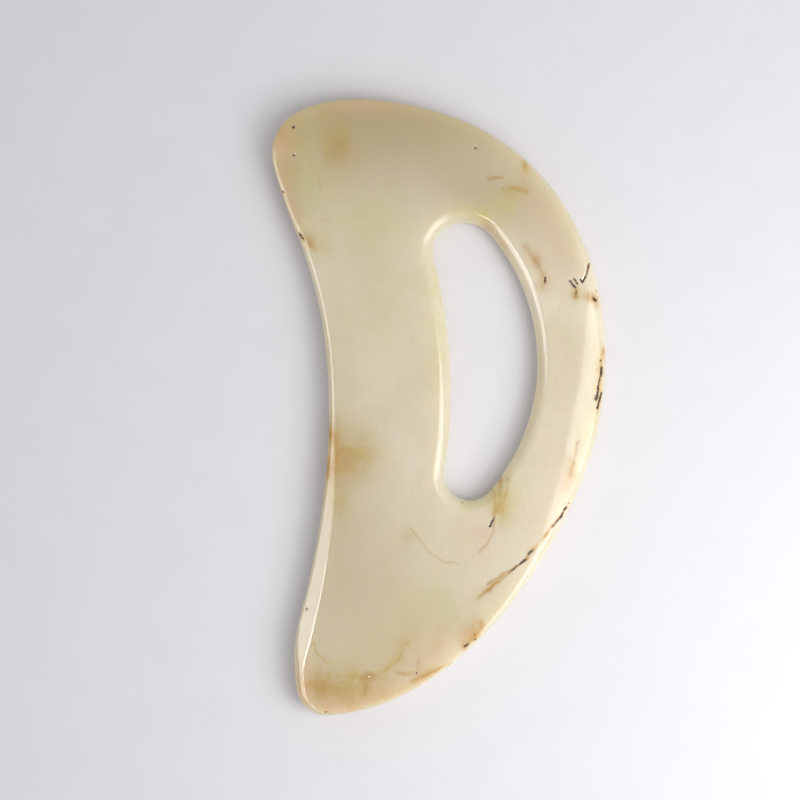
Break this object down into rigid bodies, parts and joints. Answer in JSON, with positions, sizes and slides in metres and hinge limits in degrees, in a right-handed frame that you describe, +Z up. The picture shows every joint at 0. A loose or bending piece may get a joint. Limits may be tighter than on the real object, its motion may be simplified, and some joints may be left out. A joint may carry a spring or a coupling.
{
  "type": "gua sha scraper",
  "caption": "Flat crescent of polished pale jade-type stone with a hollow scraping edge, a round back and a long curved slot for four fingers.",
  "frame": {"origin": "middle of the plate's length and width, on its underside", "axes": "+Z up out of the upper face as the plate lies flat, +Y along the length towards the blunt nose, +X from the hollow scraping edge towards the round back"},
  "size_m": [0.095, 0.175, 0.008],
  "materials": {
    "jade_stone": "polished"
  },
  "bodies": {
    "root": {"scraper_plate": "jade_stone"}
  },
  "joints": []
}
